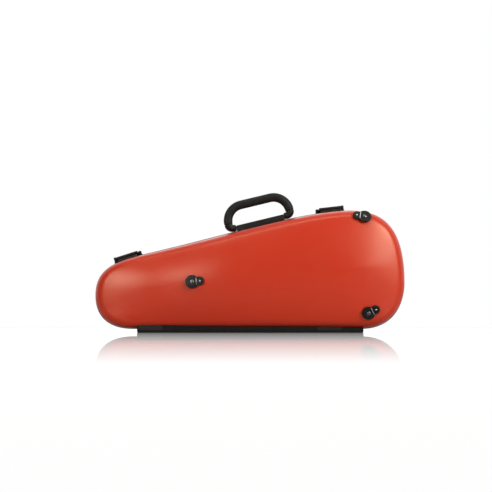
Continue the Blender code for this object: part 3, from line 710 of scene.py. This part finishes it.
def latches():
    pin_line = Matrix.Translation((0, LATCH_Y, LATCH_H)) @ ALONG_X
    for name, outer in (("neck", -1), ("body", 1)):
        axis = joint_frame(f"{name}_latch_lever", flip=True)
        place = axis @ Matrix.Translation((0, -LATCH_Y, -LATCH_H))
        made = move(lever(pin_line), place)
        replaced = [f"latch_lever_{name}"]
        piece(f"latch_plate_{name}", made, HARDWARE, f"{name}_latch", "latch_black", replaced)
        lock = turned(
            ((CORE, 0), (0.0019, 0), (0.0019, 0.0004), (0.0012, 0.0008), (CORE, 0.0008)),
            place @ Matrix.Translation((outer * LOCK_AT[0], LOCK_AT[1], LOCK_AT[2])),
            SMALL_FACETS,
        )
        piece(f"latch_lock_{name}", lock, STEEL, "lid", "steel")


# ---- strap fittings ----
def ear_outline():
    """The outline of the two lobes, counterclockwise."""
    cut = (EAR_R**2 - LOBE_R**2 + LOBE_AT**2) / (2 * LOBE_AT)
    a = math.acos(cut / EAR_R)
    b = math.acos((LOBE_AT - cut) / LOBE_R)
    points = []
    for k in range(61):
        t = a + (math.tau - 2 * a) * k / 60
        points.append((EAR_R * math.cos(t), EAR_R * math.sin(t)))
    for k in range(1, 40):
        t = -(math.pi - b) + (2 * math.pi - 2 * b) * k / 40
        points.append((LOBE_AT + LOBE_R * math.cos(t), LOBE_R * math.sin(t)))
    return points


def inset(points, by):
    """Moves a closed outline inwards."""
    count = len(points)
    moved = []
    for k, (x, y) in enumerate(points):
        (ax, ay), (bx, by_) = points[k - 1], points[(k + 1) % count]
        dx, dy = bx - ax, by_ - ay
        length = math.hypot(dx, dy)
        moved.append((x - by * dy / length, y + by * dx / length))
    return moved


def plate(points, low, high, edge, steps=4):
    """A flat solid on an outline, with its lower edge broken and its upper edge rounded."""
    rings = [
        [Vector((*p, low)) for p in inset(points, edge * 0.5)],
        [Vector((*p, low + edge * 0.5)) for p in points],
    ]
    for k in range(steps + 1):
        a = math.radians(90 * k / steps)
        ring = inset(points, edge * (1 - math.cos(a)))
        rings.append([Vector((*p, high - edge + edge * math.sin(a))) for p in ring])
    return loft(rings)


def ear():
    """A strap ear in its own frame: two lobes, a boss round the screw and one round the bar's end."""
    top = EAR_Z[1]
    made = plate(ear_outline(), EAR_Z[0], top - 0.0006, 0.0012)
    boss_profile = (
        (0.0105, 0.004),
        (0.0105, top - 0.0010),
        (0.0099, top - 0.0004),
        (0.0070, top - 0.0002),
        (0.0062, top - 0.0008),
        (0.0045, top - 0.0010),
    )
    boss = turned(boss_profile, Matrix())
    small_profile = ((0.0066, 0.004), (0.0066, top - 0.0008), (0.0060, top - 0.0001), (0.0030, top))
    small = turned(small_profile, Matrix.Translation((LOBE_RIVET_X, 0, 0)))
    made = carve(made, boss, small, operation="UNION")
    bore = turned(((EAR_BORE_R, 0.0), (EAR_BORE_R, 0.012)), Matrix(), SMALL_FACETS)
    groove = box((0.0077, -0.0078, top - 0.0022), (0.0103, 0.0078, top + 0.002))
    return carve(made, bore, groove)


def ear_screw():
    """The cross-slotted screw that an ear turns on, in the ear's frame."""
    top = EAR_Z[1]
    profile = (
        (CORE, 0.0010),
        (SCREW_R, 0.0010),
        (SCREW_R, top - 0.0003),
        (SCREW_HEAD_R, top - 0.0003),
        (SCREW_HEAD_R, top + 0.0002),
        (0.0033, top + 0.0007),
        (0.0016, top + 0.0010),
        (CORE, top + 0.0010),
    )
    slots = []
    for along, across in ((SLOT_LONG, SLOT_HALF), (SLOT_HALF, SLOT_LONG)):
        slots.append(box((-along, -across, top + 0.0002), (along, across, top + 0.003)))
    return carve(turned(profile, Matrix(), TUBE_FACETS), *slots)


def fittings():
    for name, angle in LOBE_ANGLES.items():
        joint = JOINTS[f"{name}_ear_swivel"]
        normal = Vector(joint["axis"]).normalized()
        lobe = Vector((math.cos(math.radians(angle)), 0, math.sin(math.radians(angle))))
        lobe = (lobe - normal * lobe.dot(normal)).normalized()
        turn = Matrix((lobe, normal.cross(lobe), normal)).transposed().to_4x4()
        place = Matrix.Translation(joint["pos_m"]) @ turn
        body, replaced = f"{name}_strap_ear", [f"strap_ear_{name}"]
        piece(f"ear_{name}", move(ear(), place), FITTING, body, "fitting_black", replaced, 35)
        rivet = turned(
            ((CORE, -0.001), (0.0016, -0.001), (0.0016, 0.0002), (0.0012, 0.0006), (CORE, 0.0009)),
            place @ Matrix.Translation((LOBE_RIVET_X, 0, EAR_Z[1])),
            SMALL_FACETS,
        )
        piece(f"ear_rivet_{name}", rivet, STEEL, body, "steel")
        screw, replaced = move(ear_screw(), place), [f"strap_screw_{name}"]
        piece(f"ear_screw_{name}", screw, DARK_STEEL, "base", "steel", replaced, 35)


# ---- interior ----
def violin_prism(anchors, floor, mouth):
    """A pocket's solid: an outline in the violin's own frame, between two depths."""
    c, s = math.cos(VIOLIN_TILT), math.sin(VIOLIN_TILT)
    points = [tuple(p) for p in bezier_loop(anchors, 14)]
    rings = []
    for y in (floor, mouth):
        ring = [(VIOLIN_AT[0] + u * c - v * s, y, VIOLIN_AT[1] + u * s + v * c) for u, v in points]
        rings.append(ring)
    return loft(rings)


def velour_piece(name, bm, body, replaces):
    """A padded piece of the lining, smooth all over."""
    piece(name, bm, VELOUR, body, "velour", replaces, 0)


def soft(bm, voxel, smooth, name, body, replaces):
    """Remeshes a solid and relaxes it, so that all its edges come out round, as foam under velour."""
    obj = solid(name, bm)
    remesh = obj.modifiers.new("foam", "REMESH")
    remesh.mode = "VOXEL"
    remesh.voxel_size = voxel
    relax = obj.modifiers.new("relax", "SMOOTH")
    relax.iterations = smooth
    relax.factor = 0.5
    velour_piece(name, applied(obj), body, replaces)


def bed():
    """The foam block, with the violin's pocket, the accessory pocket and the flap's recess."""
    block = coarse_dish(BASE, BED_TOP, -LINER_OUT)
    pocket = carve(
        violin_prism(BODY_POCKET, -BODY_FLOOR, 0.002),
        violin_prism(NECK_POCKET, -NECK_FLOOR, 0.0015),
        box((-0.212, -0.040, 0.030), (-0.092, 0.001, 0.055)),
        operation="UNION",
    )
    room = coarse_dish(BASE, -0.004, -(LINER_OUT + POCKET_SKIN))
    pocket = carve(pocket, room, operation="INTERSECT")
    recess = box((-0.2190, -0.0146, 0.0235), (-0.0850, 0.004, 0.0605))
    block = carve(block, pocket, recess)
    soft(block, 0.0022, 3, "bed_foam", "base", ["base_bed"])


def lining():
    """The lid's padded lining, an even layer on the shell with its edges rounded."""
    obj = plain("lid_velour", dish(LID, BED_TOP, -LINER_OUT, steps=8))
    foam = obj.modifiers.new("foam", "SOLIDIFY")
    foam.thickness = LID_LINER_T
    foam.offset = -1.0
    edge = obj.modifiers.new("edge", "BEVEL")
    edge.width = 0.0018
    edge.segments = 3
    edge.limit_method = "ANGLE"
    edge.angle_limit = math.radians(60)
    velour_piece("lid_velour", applied(obj), "lid", ["lid_lining"])


def pillow(centre, half_u, half_v, floor, height):
    """A crowned cushion with a sewn seam round its side."""
    side = (
        (0.0016, 0.0),
        (0.0003, 0.0008),
        (0.0, 0.0020),
        (0.0009, 0.0027),
        (0.0, 0.0034),
        (0.0006, 0.0046),
    )
    crown, count, squareness = 14, 96, 0.35
    levels = [(half_u - inset_by, half_v - inset_by, rise) for inset_by, rise in side]
    shoulder_u, shoulder_v, shoulder = levels[-1]
    for k in range(1, crown):
        t = k / crown
        share = math.sqrt(1 - t * t)
        rise = shoulder + (height - shoulder) * (1 - share**4) ** 0.5
        levels.append((shoulder_u * share, shoulder_v - shoulder_u * (1 - share), rise))
    rings = []
    for u, v, rise in levels:
        ring = []
        for k in range(count):
            a = math.tau * k / count
            c, s = math.cos(a), math.sin(a)
            x = math.copysign(abs(c) ** squareness, c) * u
            z = math.copysign(abs(s) ** squareness, s) * v
            ring.append((centre + x, floor + rise, z))
        rings.append(ring)
    return loft(rings)


def piping():
    """A velour cord sewn round the mouth of each side, over the edge of the foam."""
    for side, word in SIDES:
        cord = []
        for k in range(PIPING_SIDES):
            a = math.tau * k / PIPING_SIDES
            y = side * (PIPING_DEEP + PIPING_R * math.sin(a))
            cord.append((PIPING_OUT + PIPING_R * math.cos(a), y))
        piece(f"{word}_piping", swept(cord), VELOUR, word, "velour", (), 0)


def pads():
    """The cushions under the violin's back, the neck rest, the accessory flap and the neck strap."""
    axis = Matrix.Translation((VIOLIN_AT[0], 0, VIOLIN_AT[1])) @ Matrix.Rotation(-VIOLIN_TILT, 4, "Y")
    floor = -BODY_FLOOR + GAP
    for name, low, high, half in (
        ("lower_back_cushion", -0.006, 0.030, 0.050),
        ("upper_back_cushion", -0.226, -0.194, 0.042),
    ):
        cushion = pillow((low + high) / 2, (high - low) / 2, half, floor, 0.0078)
        velour_piece(f"{name}_pad", move(cushion, axis), "base", [name])
    rest = box((-0.398, -NECK_FLOOR + GAP, -0.0284), (-0.372, -0.020, 0.0284))
    neck_line = Matrix.Translation((0, -0.014, 0)) @ ALONG_X
    rest = carve(rest, turned(((0.0215, -0.42), (0.0215, -0.35)), neck_line, 64))
    soft(move(rest, axis), 0.0012, 4, "neck_rest_pad", "base", ["neck_rest"])
    flap = box((-0.2155, -0.0118, 0.0270), (-0.0885, -0.0093, 0.0570))
    soft(flap, 0.0006, 3, "flap_panel", "flap", ["accessory_flap"])
    ribbon = box((-0.158, -0.0092, 0.0275), (-0.146, -0.0084, 0.0415), 0.00035, 2)
    piece("flap_ribbon", ribbon, WEBBING, "flap", "webbing")
    strap(axis)


def strap(axis):
    """A strip of webbing that rises over the neck from one side of its pocket to the other."""
    half_width, half_span, rise, thick = 0.013, 0.0375, 0.0060, 0.0014
    steps, across = 60, 8
    shares = [2 * j / across - 1 for j in range(across + 1)]
    rings = []
    for k in range(steps + 1):
        t = 2 * k / steps - 1
        lift = -BED_TOP + GAP + rise * (1 - t * t) ** 1.5
        bottom, top = [], []
        for share in shares:
            x, z = -0.352 + half_width * share, t * half_span
            bottom.append((x, lift, z))
            top.append((x, lift + thick * (1 - 0.35 * abs(share) ** 6), z))
        rings.append([axis @ Vector(p) for p in bottom + top[::-1]])
    obj = piece("neck_webbing", loft(rings), WEBBING, "base", "webbing", ["neck_strap"], 50)


def finish_nodes():
    """Gives the CAD nodes that stay visible their materials, by how their names start."""
    finishes = (
        ("hinge_pin", STEEL),
        ("handle_pin", DARK_STEEL),
        ("latch_pin", STEEL),
        ("strap_bar", STEEL),
        ("hinge_", HARDWARE),
        ("latch_", HARDWARE),
        ("strap_post", FITTING),
    )
    for name, obj in frame["nodes"].items():
        for start, material in finishes:
            if name.startswith(start):
                obj.data.materials.clear()
                obj.data.materials.append(material)
                break


# ---- stage, light and camera ----
CAMERA_AT = Vector((-0.0076, -2.5, 0.015))
LOOK_AT = Vector((-0.0076, 0.0, 0.177))
PICTURE_WIDTH, SENSOR_WIDTH = 1.008, 36.0
WHITE = (1, 1, 1, 1)
LAMP_TINT = (1.0, 0.96, 0.88)
FLOOR_REACH = 6.0
# name, place, what it points at, width, height and power
LAMPS = (
    ("overhead", (0.0, -0.55, 1.3), (0.0, -0.05, 0.1), 1.2, 0.3, 4.5),
    ("right_front", (1.15, -1.1, 0.80), (0.15, -0.05, 0.13), 0.75, 0.75, 19),
    ("left_front", (-0.95, -1.45, 0.62), (-0.2, -0.05, 0.1), 0.5, 0.5, 10),
    ("behind", (0.0, 1.6, 1.2), (0.0, 0.0, 0.1), 1.6, 0.8, 6),
)


def floor_material():
    """White, with a polish that fades towards the viewer and ends beside and behind the case."""
    material = bpy.data.materials.new("pale_floor")
    material.use_nodes = True
    tree = material.node_tree
    tree.nodes.clear()
    new, link = tree.nodes.new, tree.links.new

    def calc(operation, *values):
        return calculation(tree, operation, *values)

    def clamp(value, low, high):
        return calc("MINIMUM", calc("MAXIMUM", value, low), high)

    split = new("ShaderNodeSeparateXYZ")
    link(new("ShaderNodeTexCoord").outputs["Object"], split.inputs[0])
    x, y = split.outputs[0], split.outputs[1]
    near = clamp(calc("MULTIPLY_ADD", y, 0.4, 1.0), 0.05, 1.0)
    fade = calc("MAXIMUM", calc("SUBTRACT", 1.234, calc("DIVIDE", 0.234, near)), 0.0)
    inside = clamp(calc("MULTIPLY", calc("SUBTRACT", 0.75, calc("ABSOLUTE", x)), 4.0), 0.0, 1.0)
    before = clamp(calc("MULTIPLY", calc("SUBTRACT", 0.15, y), 10.0), 0.0, 1.0)
    fade = calc("MULTIPLY", fade, calc("MULTIPLY", inside, before))
    fresnel = new("ShaderNodeFresnel")
    fresnel.inputs[0].default_value = 1.6
    amount = calc("MULTIPLY", calc("MULTIPLY", fade, 0.92), fresnel.outputs[0])

    white = new("ShaderNodeBsdfDiffuse")
    white.inputs["Color"].default_value = (0.42, 0.42, 0.42, 1)
    glow = new("ShaderNodeEmission")
    seen = calc("MULTIPLY", new("ShaderNodeLightPath").outputs["Is Camera Ray"], 0.78)
    link(seen, glow.inputs["Strength"])
    pale = new("ShaderNodeAddShader")
    link(white.outputs[0], pale.inputs[0])
    link(glow.outputs[0], pale.inputs[1])
    gloss = new("ShaderNodeBsdfGlossy")
    gloss.inputs["Roughness"].default_value = 0.0
    gloss.inputs["Color"].default_value = WHITE
    mix = new("ShaderNodeMixShader")
    link(amount, mix.inputs[0])
    link(pale.outputs[0], mix.inputs[1])
    link(gloss.outputs[0], mix.inputs[2])
    out = new("ShaderNodeOutputMaterial")
    link(mix.outputs[0], out.inputs[0])
    return material


def ground():
    """Two halves that meet under the hinge line; the back one turns with the lid, out of its way."""
    pale = floor_material()
    far = FLOOR_REACH
    for name, y_low, y_high in (("floor_front", -far, 0.0), ("floor_back", 0.0, far)):
        bm = bmesh.new()
        corners = ((-far, y_low), (far, y_low), (far, y_high), (-far, y_high))
        bm.faces.new([bm.verts.new((x, y, 0.0)) for x, y in corners])
        obj = plain(name, bm)
        obj.data.materials.append(pale)
        if name == "floor_back":
            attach(obj, "lid")


def surroundings():
    """White to the camera; as light it is dim in front of the case and bright behind it."""
    world = bpy.data.worlds.new("studio")
    bpy.context.scene.world = world
    world.use_nodes = True
    tree = world.node_tree
    new, link = tree.nodes.new, tree.links.new
    split = new("ShaderNodeSeparateXYZ")
    link(new("ShaderNodeTexCoord").outputs["Generated"], split.inputs[0])
    ramp = new("ShaderNodeMapRange")
    for socket, value in zip(("From Min", "From Max", "To Min", "To Max"), (-0.1, 0.35, 0.07, 1.0)):
        ramp.inputs[socket].default_value = value
    link(split.outputs[1], ramp.inputs["Value"])
    seen = new("ShaderNodeLightPath").outputs["Is Camera Ray"]
    background = tree.nodes["Background"]
    link(calculation(tree, "MAXIMUM", ramp.outputs[0], seen), background.inputs["Strength"])
    background.inputs["Color"].default_value = WHITE


def aim(obj, at, to):
    obj.location = at
    obj.rotation_euler = (Vector(to) - Vector(at)).to_track_quat("-Z", "Y").to_euler()
    bpy.context.scene.collection.objects.link(obj)


def lamps():
    for name, at, to, width, height, energy in LAMPS:
        data = bpy.data.lights.new(name, "AREA")
        data.shape = "RECTANGLE"
        data.size, data.size_y, data.energy = width, height, energy
        data.color = LAMP_TINT
        aim(bpy.data.objects.new(name, data), at, to)


def camera():
    data = bpy.data.cameras.new("camera")
    data.lens = SENSOR_WIDTH * (LOOK_AT - CAMERA_AT).length / PICTURE_WIDTH
    data.clip_end = 100
    made = bpy.data.objects.new("camera", data)
    aim(made, CAMERA_AT, LOOK_AT)
    bpy.context.scene.camera = made
    bpy.context.scene.view_settings.view_transform = "Standard"


def main():
    rooms = {side: coarse_dish(side, 0.0, CLEAR) for side in (BASE, LID)}
    shells()
    rims()
    rails(rooms)
    handle(rooms)
    latches()
    fittings()
    bed()
    lining()
    piping()
    pads()
    for room in rooms.values():
        room.free()
    finish_nodes()
    ground()
    surroundings()
    lamps()
    camera()


main()
